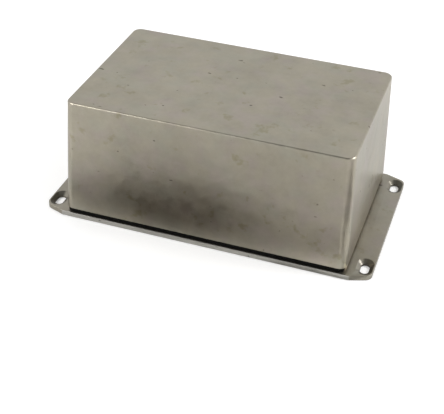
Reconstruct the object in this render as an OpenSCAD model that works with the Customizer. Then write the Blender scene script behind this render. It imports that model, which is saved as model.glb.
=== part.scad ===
// Die-cast aluminium enclosure that stands on its flanged lid, closed face up.
// The underside of the lid is at z = 0, with the origin in its middle.
// X runs along the length, Y across the width and Z up, in millimetres.

/* [Body casting] */
// Outside length at the open rim
body_length = 187.5; // [140:0.5:240]
// Outside width at the open rim
body_width = 119.5; // [90:0.5:170]
// Height from the open rim to the outside of the closed face
body_height = 77.1; // [50:0.1:110]
// Thickness of the four walls
wall_thickness = 2.8; // [2.4:0.1:4]
// Thickness of the closed face
face_thickness = 3; // [2:0.1:5]
// Lean of each wall, in degrees, that lets the casting leave its mould
draft_angle = 2.15; // [1:0.05:4]
// Outside radius of the four upright corners
corner_radius = 5.6; // [3:0.1:8]
// Radius round the outside edge of the closed face
face_edge_radius = 1.2; // [0.6:0.1:2.5]
// Radius of the upright corners inside the cavity
cavity_corner_radius = 2.8; // [2:0.1:5]
// Fillet between the cavity walls and the closed face
cavity_fillet = 2; // [1:0.1:2.6]

/* [Screw columns] */
// Distance from the outside of the rim to the axis of a corner screw
corner_screw_inset = 7.4; // [6.8:0.1:10]
// Distance from the outside of the rim to the axis of a middle screw
middle_screw_inset = 7.4; // [6.8:0.1:10]
// Radius of a screw column at the rim
column_radius = 4.6; // [3.8:0.1:5.5]
// Lean of the side of a screw column, in degrees
column_draft = 0.8; // [0.3:0.1:1.5]
// Width of the web that ties a column to its wall
column_web = 6.4; // [4:0.1:7]
// Diameter of the tapped hole in a column
tapped_hole_d = 3.4; // [2.8:0.05:4]
// Depth of the tapped hole
tapped_hole_depth = 16; // [12:0.5:24]

/* [Flanged lid] */
// How far each ear reaches beyond the end of the body rim
ear_length = 15.4; // [15.3:0.05:24]
// How far the lid stands out beyond the long sides of the body rim
lid_overhang = 0.8; // [0.5:0.05:4]
// Thickness of the lid plate and its ears
lid_thickness = 3.2; // [2.6:0.1:5]
// Where the taper of the ears starts, outward from the end of the body rim
ear_taper_start = 1.8; // [-2:0.05:3]
// Angle of the tapered edge of an ear, in degrees
ear_taper_angle = 20; // [8:0.5:24]
// Radius of the four ear corners
ear_corner_radius = 5.4; // [1:0.1:6]
// Width of the locating tongue that enters the body
tongue_width = 2.4; // [1.6:0.1:4]
// Height of the tongue above the rim of the body
tongue_engagement = 2.6; // [1.5:0.1:5]
// Gap between the tongue and the inside of the walls
tongue_clearance = 0.3; // [0.2:0.05:0.6]
// Radius of the pads that meet the screw columns
pad_radius = 4.4; // [3.6:0.1:5.2]

/* [Mounting slots] */
// Distance from the end of the body rim to the middle of a slot
slot_offset = 9.7; // [8.4:0.05:9.8]
// Distance from the side of the body rim to the middle of a slot, inward
slot_inset = 12.25; // [12:0.05:30]
// Width of the slot where it passes through
slot_width = 5.5; // [4:0.1:6]
// Overall length of the slot, across the width of the lid
slot_length = 9.8; // [8:0.1:11]
// Width of the flared mouth on the upper side
mouth_width = 10.4; // [8:0.1:10.6]
// Overall length of the flared mouth
mouth_length = 17; // [13:0.1:18]
// Height of the straight part of the slot below the flare
slot_land = 0.8; // [0.5:0.1:1.5]

/* [Gasket] */
// Height of the gasket once the screws are tight
gasket_height = 3; // [1:0.1:4]
// How far the gasket is set back from the outside of the rim
gasket_setback = 0.6; // [0.2:0.05:0.9]
// Width of the gasket strip
gasket_width = 2; // [1.4:0.1:2.2]

/* [Lid screws] */
// Diameter of the screw over its thread
screw_d = 4; // [3:0.1:4.2]
// Diameter at the root of the thread
screw_root_d = 3.3; // [2.7:0.05:3.9]
// Diameter of the countersunk head
screw_head_d = 7.4; // [6:0.1:7.6]
// Overall length of the screw
screw_length = 16; // [10:0.5:20]
// Clearance hole for the screw in the lid
screw_clearance_d = 4.4; // [4.3:0.1:5]
// Depth of the head below the underside of the lid
head_recess = 0.2; // [0.1:0.05:0.5]
// Length of one arm of the cross recess
recess_arm = 2.2; // [1.5:0.1:2.6]
// Width of the cross recess
recess_width = 0.9; // [0.6:0.1:1.2]
// Depth of the cross recess
recess_depth = 1.3; // [0.8:0.1:1.8]

/* [Hidden] */

cast_colour = [0.62, 0.6, 0.57];
lid_colour = [0.55, 0.54, 0.52];
rubber_colour = [0.05, 0.05, 0.05];
screw_colour = [0.75, 0.75, 0.76];

round_fn = 64;
blend_fn = 40;
cut = 1;
side_signs = [-1, 1];

rim_z = lid_thickness + gasket_height;
draft_slope = tan(draft_angle);
countersink_depth = (screw_head_d - screw_d) / 2;
head_seat_d = screw_head_d + 2 * head_recess;

corner_screw_x = body_length / 2 - corner_screw_inset;
corner_screw_y = body_width / 2 - corner_screw_inset;
middle_screw_y = body_width / 2 - middle_screw_inset;
// Each column as its place and the directions of its webs
columns = [
    for (x = side_signs, y = side_signs)
        [[x * corner_screw_x, y * corner_screw_y, 0], [90 - 90 * x, 90 * y]],
    for (y = side_signs)
        [[0, y * middle_screw_y, 0], [90 * y]]
];

tongue_inset = wall_thickness + tongue_clearance;
gasket_outer_radius = corner_radius - gasket_setback;

lid_half_length = body_length / 2 + ear_length;
lid_half_width = body_width / 2 + lid_overhang;
taper_x = body_length / 2 + ear_taper_start;
ear_tip_y = lid_half_width - (lid_half_length - taper_x) * tan(ear_taper_angle);
slot_x = body_length / 2 + slot_offset;
slot_y = body_width / 2 - slot_inset;

// A rectangle with round corners, centred on the origin
module rounded_rectangle(length, width, radius) {
    square([length, width - 2 * radius], center = true);
    square([length - 2 * radius, width], center = true);
    for (x = side_signs, y = side_signs)
        translate([x * (length / 2 - radius), y * (width / 2 - radius)])
            circle(r = radius, $fn = round_fn);
}

// The outline of the open rim, moved inward by inset
module rim_outline(inset, radius) {
    rounded_rectangle(body_length - 2 * inset, body_width - 2 * inset, radius);
}

// A block with leaning walls, round upright corners and a round upper edge.
// Length and width are those at the level base_z, and it runs on below that level.
module drafted_block(length, width, base_z, height, radius, edge_radius) {
    below = cut * draft_slope;
    lean = (height - edge_radius) * draft_slope;
    hull()
        for (x = side_signs, y = side_signs) {
            translate([x * (length / 2 - radius + below), y * (width / 2 - radius + below), base_z - cut])
                cylinder(h = cut / 100, r = radius, $fn = blend_fn);
            translate([x * (length / 2 - radius - lean), y * (width / 2 - radius - lean)])
                translate([0, 0, base_z + height - edge_radius])
                    rotate_extrude($fn = blend_fn)
                        translate([radius - edge_radius, 0])
                            intersection() {
                                circle(r = edge_radius, $fn = blend_fn);
                                square([2 * edge_radius, 2 * edge_radius]);
                            }
        }
}

// The webs that tie a column to its walls, seen from above and widened by extra.
// Web lists the directions of the walls as angles.
module web_plan(webs, extra) {
    for (side = webs)
        rotate(side)
            translate([0, -column_web / 2 - extra])
                square([2 * corner_screw_inset, column_web + 2 * extra]);
}

// One column for a lid screw, with its webs
module screw_column(webs) {
    column_top_radius = column_radius + body_height * tan(column_draft);
    translate([0, 0, rim_z - cut]) {
        cylinder(h = body_height + cut, r1 = column_radius, r2 = column_top_radius, $fn = round_fn);
        linear_extrude(height = body_height + cut)
            web_plan(webs, 0);
    }
}

// The hollow of the body, with the screw columns left standing
module cavity() {
    difference() {
        drafted_block(
            body_length - 2 * wall_thickness, body_width - 2 * wall_thickness,
            rim_z, body_height - face_thickness, cavity_corner_radius, cavity_fillet
        );
        for (column = columns)
            translate(column[0])
                screw_column(column[1]);
    }
}

module enclosure_body() {
    color(cast_colour)
        difference() {
            drafted_block(body_length, body_width, rim_z, body_height, corner_radius, face_edge_radius);
            cavity();
            translate([-body_length, -body_width, rim_z - 2 * cut])
                cube([2 * body_length, 2 * body_width, 2 * cut]);
            for (column = columns)
                translate(column[0] + [0, 0, rim_z - cut])
                    cylinder(h = tapped_hole_depth + cut, d = tapped_hole_d, $fn = round_fn);
        }
}

// The plan of the lid: a rectangle with a tapered, round-cornered ear at each end
module lid_outline() {
    reach = ear_corner_radius * tan((90 - ear_taper_angle) / 2);
    centre_x = lid_half_length - ear_corner_radius;
    centre_y = ear_tip_y - reach;
    flank = [sin(ear_taper_angle), cos(ear_taper_angle)] * ear_corner_radius;
    quarter = [
        [taper_x, lid_half_width],
        [centre_x + flank[0], centre_y + flank[1]],
        [centre_x, centre_y],
        [lid_half_length, centre_y]
    ];
    for (x = side_signs, y = side_signs)
        translate([x * centre_x, y * centre_y])
            circle(r = ear_corner_radius, $fn = round_fn);
    polygon([
        for (p = quarter) p,
        for (i = [3:-1:0]) [quarter[i][0], -quarter[i][1]],
        for (p = quarter) -p,
        for (i = [3:-1:0]) [-quarter[i][0], quarter[i][1]]
    ]);
}

// A slot that runs along Y, with straight sides and round ends
module slot_outline(width, length) {
    square([width, length - width], center = true);
    for (y = side_signs)
        translate([0, y * (length - width) / 2])
            circle(d = width, $fn = round_fn);
}

// One mounting slot through an ear, with its flared mouth on the upper side
module mounting_slot() {
    foot = 0.8;
    translate([0, 0, -cut])
        linear_extrude(height = lid_thickness + 2 * cut)
            slot_outline(slot_width, slot_length);
    hull() {
        translate([0, 0, slot_land])
            linear_extrude(height = cut / 100)
                slot_outline(foot * slot_width, foot * slot_length, $fn = blend_fn);
        translate([0, 0, lid_thickness])
            linear_extrude(height = cut / 100)
                slot_outline(mouth_width, mouth_length, $fn = blend_fn);
    }
}

// Through hole for a lid screw, with its countersink on the underside
module screw_hole() {
    translate([0, 0, -cut])
        cylinder(h = rim_z + 2 * cut, d = screw_clearance_d, $fn = round_fn);
    cylinder(h = head_seat_d / 2, r1 = head_seat_d / 2, r2 = 0, $fn = round_fn);
}

// The raised tongue that locates the lid inside the walls, open at each column
module tongue() {
    translate([0, 0, lid_thickness])
        linear_extrude(height = gasket_height + tongue_engagement)
            difference() {
                rim_outline(tongue_inset, cavity_corner_radius);
                rim_outline(tongue_inset + tongue_width, cavity_corner_radius);
                for (column = columns)
                    translate(column[0]) {
                        circle(r = column_radius + tongue_clearance, $fn = round_fn);
                        web_plan(column[1], tongue_clearance);
                    }
            }
}

module flanged_lid() {
    color(lid_colour)
        difference() {
            union() {
                linear_extrude(height = lid_thickness)
                    lid_outline();
                tongue();
                for (column = columns)
                    translate(column[0])
                        cylinder(h = rim_z, r = pad_radius, $fn = round_fn);
            }
            for (column = columns)
                translate(column[0])
                    screw_hole();
            for (x = side_signs, y = side_signs)
                translate([x * slot_x, y * slot_y, 0])
                    mounting_slot();
        }
}

module lid_gasket() {
    color(rubber_colour)
        translate([0, 0, lid_thickness])
            linear_extrude(height = gasket_height)
                difference() {
                    rim_outline(gasket_setback, gasket_outer_radius);
                    rim_outline(gasket_setback + gasket_width, cavity_corner_radius);
                }
}

// One flat-head lid screw, put in from below
module lid_screw(place) {
    head_cone = screw_head_d / 2;
    color(screw_colour)
        translate([place[0], place[1], head_recess])
            difference() {
                union() {
                    cylinder(h = countersink_depth, r1 = head_cone, r2 = screw_d / 2, $fn = round_fn);
                    cylinder(h = lid_thickness - head_recess, d = screw_d, $fn = round_fn);
                    cylinder(h = screw_length, d = screw_root_d, $fn = round_fn);
                }
                for (turn = [0, 90])
                    rotate([90, 0, turn])
                        linear_extrude(height = recess_width, center = true)
                            polygon([
                                [-recess_arm, -cut], [recess_arm, -cut], [recess_arm, 0],
                                [recess_width / 2, recess_depth], [-recess_width / 2, recess_depth],
                                [-recess_arm, 0]
                            ]);
            }
}

enclosure_body();
flanged_lid();
lid_gasket();
lid_screw([-corner_screw_x, -corner_screw_y]);  // lid_screw_front_left
lid_screw([0, -middle_screw_y]);  // lid_screw_front_middle
lid_screw([corner_screw_x, -corner_screw_y]);  // lid_screw_front_right
lid_screw([-corner_screw_x, corner_screw_y]);  // lid_screw_back_left
lid_screw([0, middle_screw_y]);  // lid_screw_back_middle
lid_screw([corner_screw_x, corner_screw_y]);  // lid_screw_back_right
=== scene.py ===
"""Looks for a die-cast aluminium enclosure that stands closed face up on its flanged lid.

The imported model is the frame. Its nodes keep their shapes and get a shading finish and a
procedural material each; the floor, lamps and camera follow the photograph's set-up.
All lengths are in metres.
"""

from __future__ import annotations

import logging
import math
from dataclasses import dataclass, field
from enum import Enum
from typing import Any, Mapping, Sequence, Union

import bpy
from mathutils import Matrix, Vector


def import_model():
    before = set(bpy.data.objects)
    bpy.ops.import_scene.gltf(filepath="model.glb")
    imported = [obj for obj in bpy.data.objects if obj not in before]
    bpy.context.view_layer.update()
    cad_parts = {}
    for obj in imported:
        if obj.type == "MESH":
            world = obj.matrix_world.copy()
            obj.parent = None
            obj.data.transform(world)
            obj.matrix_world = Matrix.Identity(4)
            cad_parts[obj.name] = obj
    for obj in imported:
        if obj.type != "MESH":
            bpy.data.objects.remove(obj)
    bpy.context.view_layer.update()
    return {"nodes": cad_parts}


log = logging.getLogger("enclosure")

Pair = tuple[float, float]
Triple = tuple[float, float, float]
Value = Union["Link", int, float]
WHITE: Triple = (1.0, 1.0, 1.0)
UNSTRETCHED: Triple = (1.0, 1.0, 1.0)
NOWHERE: Triple = (0.0, 0.0, 0.0)
MIDDLE = 0.5  # the mean of every noise
IMAGE_SIZE = (444, 414)


class Ray(Enum):
    """The kinds of ray that the studio tells apart."""

    CAMERA = "Is Camera Ray"
    GLOSS = "Is Glossy Ray"
    CLEAR = "Is Transmission Ray"


class Link:
    """An output socket that Python's operators work on."""

    def __init__(self, graph: "Graph", socket: bpy.types.NodeSocket | None) -> None:
        """Wraps one output socket of a graph.

        Args:
            graph: The graph that the socket belongs to.
            socket: The output socket, or None for a node without one.
        """
        self.graph = graph
        self.socket = socket

    def _math(self, operation: str, *values: Value) -> "Link":
        """Returns the result of a Math node on the values."""
        return self.graph.node("ShaderNodeMath", {"operation": operation}, dict(enumerate(values)))

    def __add__(self, other: Value) -> "Link":
        """Returns self + other."""
        return self._math("ADD", self, other)

    def __radd__(self, other: Value) -> "Link":
        """Returns other + self."""
        return self._math("ADD", other, self)

    def __sub__(self, other: Value) -> "Link":
        """Returns self - other."""
        return self._math("SUBTRACT", self, other)

    def __rsub__(self, other: Value) -> "Link":
        """Returns other - self."""
        return self._math("SUBTRACT", other, self)

    def __mul__(self, other: Value) -> "Link":
        """Returns self * other."""
        return self._math("MULTIPLY", self, other)

    def __rmul__(self, other: Value) -> "Link":
        """Returns other * self."""
        return self._math("MULTIPLY", other, self)

    def __abs__(self) -> "Link":
        """Returns the absolute value."""
        return self._math("ABSOLUTE", self)

    def at_least(self, other: Value) -> "Link":
        """Returns the larger of self and other."""
        return self._math("MAXIMUM", self, other)

    def at_most(self, other: Value) -> "Link":
        """Returns the smaller of self and other."""
        return self._math("MINIMUM", self, other)

    def step(self, low: float, high: float) -> "Link":
        """Gives a smooth rise from 0 at low to 1 at high, or a fall where low is the larger.

        Args:
            low: The value at which the result is 0.
            high: The value at which the result is 1.

        Returns:
            The smoothed result.
        """
        rise = self.graph.node(
            "ShaderNodeMapRange",
            {"interpolation_type": "SMOOTHSTEP"},
            {"Value": self, "From Min": min(low, high), "From Max": max(low, high)},
        )
        return 1 - rise if low > high else rise


class Graph:
    """A node tree that is built from expressions."""

    def __init__(self, tree: bpy.types.NodeTree) -> None:
        """Empties a node tree to build in.

        Args:
            tree: The node tree of a material, a world or a modifier.
        """
        self.tree = tree
        tree.nodes.clear()

    def node(
        self,
        kind: str,
        settings: Mapping[str, Any] | None = None,
        values: Mapping[Union[str, int], Any] | None = None,
        output: Union[str, int] = 0,
    ) -> Link:
        """Adds a node, sets it up and feeds its sockets.

        Args:
            kind: Blender's type name of the node.
            settings: The node's own options, which are set first.
            values: What each input socket, by name or place, gets: a number, a tuple or a link.
            output: The output socket to hand back.

        Returns:
            The output socket, wrapped.
        """
        made = self.tree.nodes.new(kind)
        for name, value in (settings or {}).items():
            setattr(made, name, value)
        for name, value in (values or {}).items():
            socket = made.inputs[name]
            if isinstance(value, Link):
                self.tree.links.new(value.socket, socket)
            elif isinstance(value, tuple) and len(value) == 3 and socket.type == "RGBA":
                socket.default_value = (*value, 1.0)
            else:
                socket.default_value = value
        return Link(self, made.outputs[output] if len(made.outputs) else None)

    def mix(self, factor: Value, first: Any, second: Any) -> Link:
        """Mixes two colours.

        Args:
            factor: The share of the second colour.
            first: The first colour.
            second: The second colour.

        Returns:
            The mixed colour.
        """
        colours = {0: factor, 6: first, 7: second}
        return self.node("ShaderNodeMix", {"data_type": "RGBA"}, colours, 2)

    def shade(self, colour: Any, level: Link) -> Link:
        """Scales a colour by a value.

        Args:
            colour: The colour.
            level: The factor for its three channels.

        Returns:
            The scaled colour.
        """
        values = {0: colour, "Scale": level}
        return self.node("ShaderNodeVectorMath", {"operation": "SCALE"}, values)

    def length(self, vector: Link) -> Link:
        """Returns the length of a vector."""
        return self.node("ShaderNodeVectorMath", {"operation": "LENGTH"}, {0: vector}, "Value")

    def point(self) -> Link:
        """Returns the point on the object."""
        return self.node("ShaderNodeTexCoord", output="Object")

    def axis(self, name: str) -> Link:
        """Returns one coordinate, X, Y or Z, of the point on the object."""
        return self.node("ShaderNodeSeparateXYZ", {}, {0: self.point()}, name)

    def place(self, stretch: Triple = UNSTRETCHED, shift: Triple = NOWHERE) -> Link:
        """Gives the point on the object, stretched and shifted.

        Args:
            stretch: The factor along each axis.
            shift: The shift along each axis.

        Returns:
            The point's vector.
        """
        values = {"Vector": self.point(), "Location": shift, "Scale": stretch}
        return self.node("ShaderNodeMapping", {}, values)

    def noise(self, vector: Link, size: float, detail: float, finer: float = 0.5) -> Link:
        """Makes a noise between 0 and 1 with a middle of 0.5.

        Args:
            vector: The point.
            size: The width of its patches.
            detail: The number of finer layers.
            finer: The strength of the finer layers.

        Returns:
            The noise's value.
        """
        values = {"Vector": vector, "Scale": 1.0 / size, "Detail": detail, "Roughness": finer}
        return self.node("ShaderNodeTexNoise", {}, values)

    def ray(self, kind: Ray) -> Link:
        """Returns 1 for one kind of ray and 0 for the others."""
        return self.node("ShaderNodeLightPath", output=kind.value)

    def finish(self, surface: Link) -> None:
        """Feeds the material's surface."""
        self.node("ShaderNodeOutputMaterial", {}, {"Surface": surface})


def new_material(name: str) -> tuple[bpy.types.Material, Graph]:
    """Adds an empty material.

    Args:
        name: The material's name.

    Returns:
        The material and its graph.
    """
    made = bpy.data.materials.new(name)
    made.use_nodes = True
    return made, Graph(made.node_tree)


@dataclass(frozen=True)
class Mottle:
    """One noise of the cast skin and its shares in brightness, roughness and relief."""

    size: float
    detail: float
    finer: float = 0.5
    light: float = 0.0
    rough: float = 0.0
    relief: float = 0.0


@dataclass(frozen=True)
class Pitting:
    """Small dark pits of one size, scattered over the cast skin."""

    spacing: float
    radius: float
    share: float
    stretch: Triple
    ragged: float = 0.0030
    ragged_size: float = 0.0016

    def mark(self, graph: Graph, seed: float) -> Link:
        """Marks the pits.

        Args:
            graph: The material's graph.
            seed: The shift that gives each casting its own pits.

        Returns:
            1 in a pit, 0 elsewhere.
        """
        point = graph.place(self.stretch, (seed + self.spacing * 90, 0.21, 0.13))
        wobble = graph.noise(point, self.ragged_size, 3.0) - MIDDLE
        cells = {"Vector": point, "Scale": 1.0 / self.spacing}
        away = graph.node("ShaderNodeTexVoronoi", {}, cells, "Distance")
        pick = graph.node("ShaderNodeTexVoronoi", {}, cells, "Color")
        draw = graph.node("ShaderNodeSeparateColor", {}, {"Color": pick})
        spot = away * self.spacing + self.ragged * wobble
        return spot.step(self.radius, self.radius * 0.30) * draw.step(self.share, self.share + 0.05)


@dataclass(frozen=True)
class CastAluminium:
    """Tumbled raw die-cast aluminium: mottled, warm grey, with small pits and olive stains."""

    name: str = "cast_aluminium_body"
    colour: Triple = (0.400, 0.372, 0.318)
    roughness: float = 0.34
    seed: float = 0.0
    layers: Sequence[Mottle] = (
        Mottle(0.050, 2.0, light=0.308),
        Mottle(0.014, 3.0, 0.55, light=0.322, rough=0.10, relief=0.10),
        Mottle(0.0030, 2.0, light=0.126, rough=0.10, relief=0.035),
        Mottle(0.0008, 2.0, 0.6, light=0.070, relief=0.020),
        Mottle(0.030, 1.0, relief=1.0),
        Mottle(0.0095, 1.0, relief=0.60),
    )
    pitting: Sequence[Pitting] = (
        Pitting(0.0062, 0.00045, 0.52, (0.60, 1.0, 1.0)),
        Pitting(0.0115, 0.00105, 0.42, (0.55, 1.0, 0.70)),
    )
    pit_dark: float = 0.50
    pit_rough: float = 0.25
    pit_depth: float = 0.10
    green: Triple = (0.985, 1.003, 0.955)
    pink: Triple = (1.024, 0.988, 0.995)
    hue_size: float = 0.017
    warm: Triple = (1.01, 1.0, 0.935)
    warm_size: float = 0.013
    olive: Triple = (0.94, 0.93, 0.66)
    olive_size: float = 0.011
    olive_share: float = 0.45
    olive_dark: float = 0.13
    soft_edge: float = 0.00035
    relief_depth: float = 0.00035

    def material(self) -> bpy.types.Material:
        """Builds the material.

        Returns:
            The cast aluminium material.
        """
        made, graph = new_material(self.name)
        point = graph.place(shift=(self.seed, self.seed * 0.37, self.seed * 0.61))
        level: Value = 1.0
        rough: Value = self.roughness
        height: Value = 0.0
        for layer in self.layers:
            noise = graph.noise(point, layer.size, layer.detail, layer.finer)
            if layer.light:
                level = level + layer.light * (noise - MIDDLE)
            if layer.rough:
                rough = rough + layer.rough * (noise - MIDDLE)
            if layer.relief:
                height = height + layer.relief * noise
        small, large = (layer.mark(graph, self.seed) for layer in self.pitting)
        pits = large.at_least(small)
        stain = self._drift(graph, (7.3, 2.2, 5.1), self.olive_size, 3.0, 0.6).step(0.60, 0.72)
        hue = self._drift(graph, (3.1, 1.7, 0.4), self.hue_size, 2.0)
        warmth = self._drift(graph, (5.7, 0.9, 2.3), self.warm_size, 2.0)
        level = level * (1 - self.pit_dark * pits) * (1 - self.olive_dark * stain)
        tone = graph.mix(hue.step(0.40, 0.62), self._tinted(self.green), self._tinted(self.pink))
        tone = graph.mix(warmth.step(0.36, 0.64), tone, self._tinted(self.warm))
        tone = graph.mix(self.olive_share * stain, tone, self._tinted(self.olive))
        tone, level, rough = self._marked(graph, tone, level, rough + self.pit_rough * pits)
        soft = graph.node("ShaderNodeBevel", {"samples": 8}, {"Radius": self.soft_edge})
        bump = {
            "Strength": 1.0,
            "Distance": self.relief_depth,
            "Height": height - self.pit_depth * pits,
            "Normal": soft,
        }
        skin = {
            "Base Color": graph.shade(tone, level),
            "Metallic": 1.0,
            "Roughness": rough,
            "Normal": graph.node("ShaderNodeBump", {}, bump),
        }
        graph.finish(graph.node("ShaderNodeBsdfPrincipled", {}, skin))
        return made

    def _drift(
        self, graph: Graph, shift: Triple, size: float, detail: float, finer: float = 0.5
    ) -> Link:
        """Makes a noise of its own place, for a slow change over the skin.

        Args:
            graph: The material's graph.
            shift: The shift of the noise, to which the seed is added along X.
            size: The width of its patches.
            detail: The number of finer layers.
            finer: The strength of the finer layers.

        Returns:
            The noise's value.
        """
        point = graph.place(shift=(self.seed + shift[0], shift[1], shift[2]))
        return graph.noise(point, size, detail, finer)

    def _tinted(self, tint: Triple) -> Triple:
        """Returns the colour with its three channels scaled."""
        return tuple(channel * factor for channel, factor in zip(self.colour, tint))

    def _marked(
        self, graph: Graph, tone: Link, level: Link, rough: Link
    ) -> tuple[Link, Link, Link]:
        """Adds the marks that one casting alone has, here none.

        Args:
            graph: The material's graph, not used here.
            tone: The colour.
            level: The brightness.
            rough: The roughness.

        Returns:
            The colour, brightness and roughness with the marks.
        """
        return tone, level, rough


@dataclass(frozen=True)
class CastLidAluminium(CastAluminium):
    """The lid's darker cast aluminium; painted shade in its slot flares, a painted reflection on
    its long edges.
    """

    name: str = "cast_aluminium_lid"
    colour: Triple = (0.328, 0.307, 0.269)
    seed: float = 0.53
    slot_x: float = 0.10345
    slot_y: float = 0.0475
    slot_straight: float = 0.0033
    # The outer parts of the slot flares get painted shade: where it lies, and how dark and rough it
    # is.
    flare_out: Pair = (0.1000, 0.1020)
    flare_rim: Pair = (0.00525, 0.00510)
    flare_top: Pair = (0.00315, 0.00300)
    flare_left: float = 0.0025
    flare_painted_shade: float = 0.62
    flare_rough: float = 0.14
    # The long edge faces get a painted reflection: where it starts, and how light and blue it is.
    edge_from: Pair = (0.0602, 0.0604)
    edge_painted_reflection: float = 0.42
    edge_reflection_tint: Triple = (0.945, 1.0, 1.08)
    edge_reflection_share: float = 0.75

    def _marked(
        self, graph: Graph, tone: Link, level: Link, rough: Link
    ) -> tuple[Link, Link, Link]:
        """Paints shade on the outer parts of the slot flares and a reflection on the long edges.

        Args:
            graph: The material's graph.
            tone: The colour.
            level: The brightness.
            rough: The roughness.

        Returns:
            The colour, brightness and roughness with the marks.
        """
        x, y, z = (graph.axis(name) for name in "XYZ")
        outward = abs(x) - self.flare_left * x.step(0.0, -0.001)
        beside = (abs(abs(y) - self.slot_y) - self.slot_straight).at_least(0.0)
        aside = graph.node("ShaderNodeCombineXYZ", {}, {"X": abs(x) - self.slot_x, "Y": beside})
        inside = graph.length(aside).step(*self.flare_rim)
        # Painted shade: the outer parts of the slot flares are darker and rougher.
        flare = outward.step(*self.flare_out) * inside * z.step(*self.flare_top)
        # Painted reflection: the lid's long edge faces are lighter and bluer.
        edge = abs(y).step(*self.edge_from)
        tone = graph.mix(self.edge_reflection_share * edge, tone, self._tinted(self.edge_reflection_tint))
        level = level * (1 - self.flare_painted_shade * flare) * (1 + self.edge_painted_reflection * edge)
        return tone, level, rough + self.flare_rough * flare


@dataclass(frozen=True)
class GasketRubber:
    """Matt black moulded rubber, with painted light in brown where the ends of the box leave it
    open.
    """

    name: str = "gasket_black_rubber"
    colour: Triple = (0.0022, 0.0021, 0.0019)
    # Painted light at the two open ends: its brown, and where it starts along X.
    painted_end_light_colour: Triple = (0.300, 0.250, 0.180)
    painted_end_light_from: Pair = (0.0918, 0.0930)
    cloud_size: float = 0.006
    speck_size: float = 0.0006
    roughness: float = 0.62
    gloss: float = 0.1
    relief_depth: float = 0.00005

    def material(self) -> bpy.types.Material:
        """Builds the material.

        Returns:
            The rubber material.
        """
        made, graph = new_material(self.name)
        point = graph.place()
        cloud = graph.noise(point, self.cloud_size, 3.0)
        speck = graph.noise(point, self.speck_size, 2.0)
        level = 1.0 + 0.5 * (cloud - MIDDLE) + 0.5 * speck.step(0.60, 0.75)
        # Painted light: the gasket turns brown towards its two open ends.
        painted_end_light = abs(graph.axis("X")).step(*self.painted_end_light_from) * (0.55 + 0.45 * cloud.step(0.35, 0.6))
        tone = graph.mix(painted_end_light, self.colour, self.painted_end_light_colour)
        bump = {"Strength": 0.6, "Distance": self.relief_depth, "Height": speck}
        skin = {
            "Base Color": graph.shade(tone, level),
            "Roughness": self.roughness + 0.2 * (cloud - MIDDLE),
            "Specular IOR Level": self.gloss,
            "Normal": graph.node("ShaderNodeBump", {}, bump),
        }
        graph.finish(graph.node("ShaderNodeBsdfPrincipled", {}, skin))
        return made


@dataclass(frozen=True)
class ScrewSteel:
    """Bright zinc-plated steel with turning marks."""

    name: str = "screw_zinc_steel"
    colour: Triple = (0.56, 0.57, 0.58)
    yellowed: Triple = (0.60, 0.57, 0.49)
    cloud_size: float = 0.0025
    mark_size: float = 0.0004
    mark_stretch: Triple = (1.0, 1.0, 6.0)
    roughness: float = 0.26
    relief_depth: float = 0.00003

    def material(self) -> bpy.types.Material:
        """Builds the material.

        Returns:
            The steel material.
        """
        made, graph = new_material(self.name)
        cloud = graph.noise(graph.place(), self.cloud_size, 3.0)
        marks = graph.noise(graph.place(self.mark_stretch), self.mark_size, 2.0)
        tone = graph.mix(cloud.step(0.35, 0.65), self.colour, self.yellowed)
        bump = {"Strength": 0.5, "Distance": self.relief_depth, "Height": marks}
        skin = {
            "Base Color": graph.shade(tone, 0.9 + 0.2 * marks),
            "Metallic": 1.0,
            "Roughness": self.roughness + 0.15 * (cloud - MIDDLE),
            "Normal": graph.node("ShaderNodeBump", {}, bump),
        }
        graph.finish(graph.node("ShaderNodeBsdfPrincipled", {}, skin))
        return made


@dataclass
class Shading:
    """Smooth shading on rounded edges, with flat faces left flat."""

    name: str = "cast_shading"
    crease: float = math.radians(32)
    weld: float = 1e-6
    flat_weight: int = 50
    tree: bpy.types.NodeTree = field(init=False)

    def __post_init__(self) -> None:
        """Builds the node group that joins the faces and sorts soft edges from sharp ones."""
        self.tree = bpy.data.node_groups.new(self.name, "GeometryNodeTree")
        for side in ("INPUT", "OUTPUT"):
            self.tree.interface.new_socket(
                "Geometry", in_out=side, socket_type="NodeSocketGeometry"
            )
        graph = Graph(self.tree)
        shape = graph.node("NodeGroupInput")
        for kind, settings, values in (
            ("GeometryNodeRemoveAttribute", {}, {"Name": "custom_normal"}),
            ("GeometryNodeMergeByDistance", {}, {"Distance": self.weld}),
            ("GeometryNodeSetShadeSmooth", {"domain": "FACE"}, {"Shade Smooth": True}),
        ):
            shape = graph.node(kind, settings, {"Geometry": shape, **values})
        angle = graph.node("GeometryNodeInputMeshEdgeAngle", output="Unsigned Angle")
        greater = {"data_type": "FLOAT", "operation": "GREATER_THAN"}
        sharp = graph.node("FunctionNodeCompare", greater, {0: angle, 1: self.crease})
        shape = graph.node(
            "GeometryNodeSetShadeSmooth",
            {"domain": "EDGE"},
            {"Geometry": shape, "Selection": sharp, "Shade Smooth": False},
        )
        graph.node("NodeGroupOutput", {}, {0: shape})

    def dress(self, piece: bpy.types.Object) -> None:
        """Adds the shading to a piece.

        Args:
            piece: The piece's object.
        """
        soft = piece.modifiers.new("shading", "NODES")
        soft.node_group = self.tree
        flat = piece.modifiers.new("flat_faces", "WEIGHTED_NORMAL")
        flat.mode = "FACE_AREA"
        flat.weight = self.flat_weight
        flat.keep_sharp = True


@dataclass
class DressedNodes:
    """CAD nodes that keep their shape and share one finish."""

    names: Sequence[str]
    finish: Union[CastAluminium, GasketRubber, ScrewSteel]

    def dress(self, nodes: Mapping[str, bpy.types.Object], shading: Shading) -> None:
        """Gives the nodes their finish.

        Args:
            nodes: The frame's objects by node name.
            shading: The shading for their edges.
        """
        material = self.finish.material()
        for name in self.names:
            piece = nodes[name]
            piece.data.materials.clear()
            piece.data.materials.append(material)
            shading.dress(piece)
            log.info("dressed %s with %s", name, self.finish.name)


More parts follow.
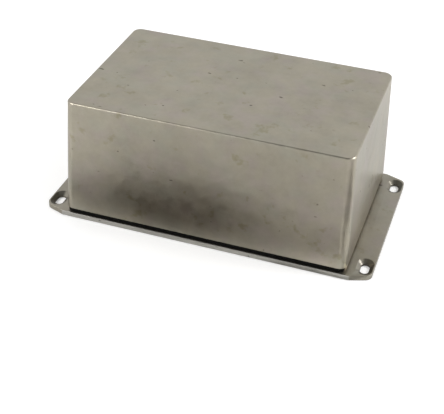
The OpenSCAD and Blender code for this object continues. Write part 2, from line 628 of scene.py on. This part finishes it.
@dataclass
class Enclosure:
    """The whole enclosure: body, lid, gasket and lid screws."""

    body: DressedNodes = field(
        default_factory=lambda: DressedNodes(["enclosure_body"], CastAluminium())
    )
    lid: DressedNodes = field(
        default_factory=lambda: DressedNodes(["flanged_lid"], CastLidAluminium())
    )
    gasket: DressedNodes = field(
        default_factory=lambda: DressedNodes(["lid_gasket"], GasketRubber())
    )
    screws: DressedNodes = field(
        default_factory=lambda: DressedNodes(
            [
                f"lid_screw_{row}_{place}"
                for row in ("front", "back")
                for place in ("left", "middle", "right")
            ],
            ScrewSteel(),
        )
    )

    def dress(self, nodes: Mapping[str, bpy.types.Object]) -> None:
        """Dresses all the nodes.

        Args:
            nodes: The frame's objects by node name.
        """
        shading = Shading()
        for part in (self.body, self.lid, self.gasket, self.screws):
            part.dress(nodes, shading)


@dataclass(frozen=True)
class SoftLamp:
    """A square soft box that points at the enclosure."""

    name: str
    place: Triple
    width: float
    watts: float
    aim: Triple = (0.0, 0.0, 0.04)

    def make(self) -> None:
        """Adds the lamp to the scene."""
        lamp = bpy.data.lights.new(self.name, "AREA")
        lamp.shape = "SQUARE"
        lamp.size = self.width
        lamp.energy = self.watts
        made = bpy.data.objects.new(self.name, lamp)
        made.location = self.place
        towards = Vector(self.aim) - Vector(self.place)
        made.rotation_mode = "QUATERNION"
        made.rotation_quaternion = towards.to_track_quat("-Z", "Y")
        bpy.context.scene.collection.objects.link(made)


@dataclass(frozen=True)
class SkyPatch:
    """A soft-edged part of the surroundings, as polished metal sees it."""

    towards: Triple
    inner: float
    outer: float
    level: float

    def over(self, graph: Graph, direction: Link, below: Value) -> Link:
        """Lays the patch over what lies below it.

        Args:
            graph: The world's graph.
            direction: The direction that is looked in.
            below: The level under the patch.

        Returns:
            The level with the patch on it.
        """
        values = {0: direction, 1: tuple(Vector(self.towards).normalized())}
        along = graph.node("ShaderNodeVectorMath", {"operation": "DOT_PRODUCT"}, values, "Value")
        outer, inner = (math.cos(math.radians(angle)) for angle in (self.outer, self.inner))
        mask = along.step(outer, inner)
        return below * (1 - mask) + self.level * mask


@dataclass(frozen=True)
class Flag:
    """A soft-edged dark cloth on the floor, which only reflections show."""

    name: str
    centre: Triple
    reach: Pair
    turn: float
    cover: float
    core: float
    cloth: Triple = (0.036, 0.021, 0.009)

    def make(self) -> None:
        """Lays the flag on the floor."""
        made = level_sheet(self.name, self.reach, self.centre)
        made.rotation_euler = (0.0, 0.0, self.turn)
        material, graph = new_material(self.name + "_cloth")
        scaled = graph.node(
            "ShaderNodeVectorMath",
            {"operation": "MULTIPLY"},
            {0: graph.point(), 1: (1.0 / self.reach[0], 1.0 / self.reach[1], 0.0)},
        )
        cover = self.cover * graph.length(scaled).step(1.0, self.core)
        cloth = graph.node("ShaderNodeBsdfDiffuse", {}, {"Color": self.cloth})
        clear = graph.node("ShaderNodeBsdfTransparent")
        graph.finish(graph.node("ShaderNodeMixShader", {}, {0: cover, 1: clear, 2: cloth}))
        made.data.materials.append(material)
        made.visible_camera = False
        made.visible_diffuse = False
        made.visible_shadow = False


def level_sheet(name: str, reach: Pair, centre: Triple) -> bpy.types.Object:
    """Makes a level sheet of the studio.

    Args:
        name: The sheet's name.
        reach: Half of its length and half of its width.
        centre: Its middle.

    Returns:
        The sheet's object.
    """
    half_x, half_y = reach
    mesh = bpy.data.meshes.new(name)
    corners = [
        (side_x * half_x, side_y * half_y, 0.0)
        for side_x, side_y in ((-1, -1), (1, -1), (1, 1), (-1, 1))
    ]
    mesh.from_pydata(corners, [], [(0, 1, 2, 3)])
    made = bpy.data.objects.new(name, mesh)
    made.location = centre
    bpy.context.scene.collection.objects.link(made)
    return made


@dataclass
class Studio:
    """The pale floor, the surroundings, the lamps and the flags that shape the reflections."""

    floor_reach: Pair = (6.0, 6.0)
    floor_centre: Triple = (0.0, 0.0, -0.0004)
    floor_colour: Triple = (0.84, 0.84, 0.84)
    floor_glow: float = 0.26
    sky_for_camera: float = 1.0
    sky_for_gloss: float = 0.82
    sky_for_matt: float = 0.72
    patches: Sequence[SkyPatch] = (
        SkyPatch((0.12, -0.10, 1.0), 18.0, 40.0, 0.40),
        SkyPatch((0.05, -0.44, 0.90), 20.0, 34.0, 0.02),
        SkyPatch((0.02, -0.95, 0.22), 8.0, 16.0, 0.10),
    )
    lamps: Sequence[SoftLamp] = (
        SoftLamp("left_lamp", (-0.95, -0.95, 0.80), 0.50, 11.0),
        SoftLamp("right_lamp", (1.05, 0.25, 0.85), 0.55, 9.0),
    )
    flags: Sequence[Flag] = (
        Flag("front_flag", (-0.034, -0.1035, 0.0010), (0.084, 0.041), 0.05, 1.0, 0.38),
        Flag("front_flag_wing", (-0.020, -0.0960, 0.0007), (0.152, 0.036), 0.02, 0.56, 0.62),
        Flag("front_flag_right", (0.054, -0.0930, 0.0008), (0.064, 0.018), 0.0, 0.34, 0.40),
        Flag("corner_flag", (0.127, -0.104, 0.0013), (0.019, 0.062), 0.50, 0.72, 0.30),
        Flag("corner_flag_far", (0.189, -0.098, 0.0016), (0.070, 0.064), 0.90, 0.92, 0.40),
        Flag("corner_flag_side", (0.200, -0.048, 0.0019), (0.052, 0.042), 0.0, 0.70, 0.35),
        Flag("contact_flag", (0.080, -0.0612, 0.0002), (0.050, 0.0030), 0.0, 0.50, 0.50),
        Flag("far_flag", (0.010, -0.175, 0.0004), (0.210, 0.085), 0.0, 0.33, 0.50),
    )

    def make(self) -> None:
        """Sets up the floor, the surroundings, the flags and the lamps."""
        self._floor()
        self._sky()
        for item in (*self.flags, *self.lamps):
            item.make()
            log.info("studio has %s", item.name)

    def _floor(self) -> None:
        """Makes the floor: pale, white to the camera, with the object's shadow."""
        floor = level_sheet("studio_floor", self.floor_reach, self.floor_centre)
        material, graph = new_material("studio_floor_paint")
        paint = graph.node("ShaderNodeBsdfDiffuse", {}, {"Color": self.floor_colour})
        seen = (graph.ray(Ray.CAMERA) + graph.ray(Ray.CLEAR)).at_most(1.0)
        light = {"Color": WHITE, "Strength": self.floor_glow * seen}
        glow = graph.node("ShaderNodeEmission", {}, light)
        graph.finish(graph.node("ShaderNodeAddShader", {}, {0: paint, 1: glow}))
        floor.data.materials.append(material)

    def _sky(self) -> None:
        """Makes the surroundings: white to the camera, a plain studio for the object."""
        world = bpy.data.worlds.new("studio_surroundings")
        bpy.context.scene.world = world
        world.use_nodes = True
        graph = Graph(world.node_tree)
        gloss = graph.ray(Ray.GLOSS)
        seen = (graph.ray(Ray.CAMERA) + graph.ray(Ray.CLEAR)).at_most(1.0)
        direction = graph.node("ShaderNodeTexCoord", output="Generated")
        studio: Value = self.sky_for_gloss
        for patch in self.patches:
            studio = patch.over(graph, direction, studio)
        other = 1 - (seen + gloss).at_most(1.0)
        strength = self.sky_for_camera * seen + studio * gloss + self.sky_for_matt * other
        light = {"Color": WHITE, "Strength": strength}
        shade = graph.node("ShaderNodeBackground", {}, light)
        graph.node("ShaderNodeOutputWorld", {}, {"Surface": shade})


@dataclass(frozen=True)
class Viewpoint:
    """The photograph's camera."""

    place: Triple = (0.16826, -0.54949, 0.39418)
    right: Triple = (0.94652, 0.32125, 0.02989)
    up: Triple = (-0.20806, 0.53695, 0.81755)
    back: Triple = (0.24659, -0.78005, 0.57508)
    focal_pixels: float = 1026.03
    sensor: float = 36.0
    clip: Pair = (0.01, 50.0)

    def make(self) -> None:
        """Adds the camera."""
        data = bpy.data.cameras.new("photo_camera")
        data.sensor_width = self.sensor
        data.lens = self.focal_pixels * self.sensor / max(IMAGE_SIZE)
        data.clip_start, data.clip_end = self.clip
        made = bpy.data.objects.new("photo_camera", data)
        turn = Matrix((self.right, self.up, self.back)).transposed()
        made.matrix_world = Matrix.Translation(self.place) @ turn.to_4x4()
        bpy.context.scene.collection.objects.link(made)
        bpy.context.scene.camera = made


def main() -> None:
    """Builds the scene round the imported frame."""
    logging.basicConfig(level=logging.INFO, format="%(name)s: %(message)s")
    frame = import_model()
    bpy.context.scene.view_settings.view_transform = "Standard"
    Viewpoint().make()
    Enclosure().dress(frame["nodes"])
    Studio().make()


if __name__ == "__main__":
    main()
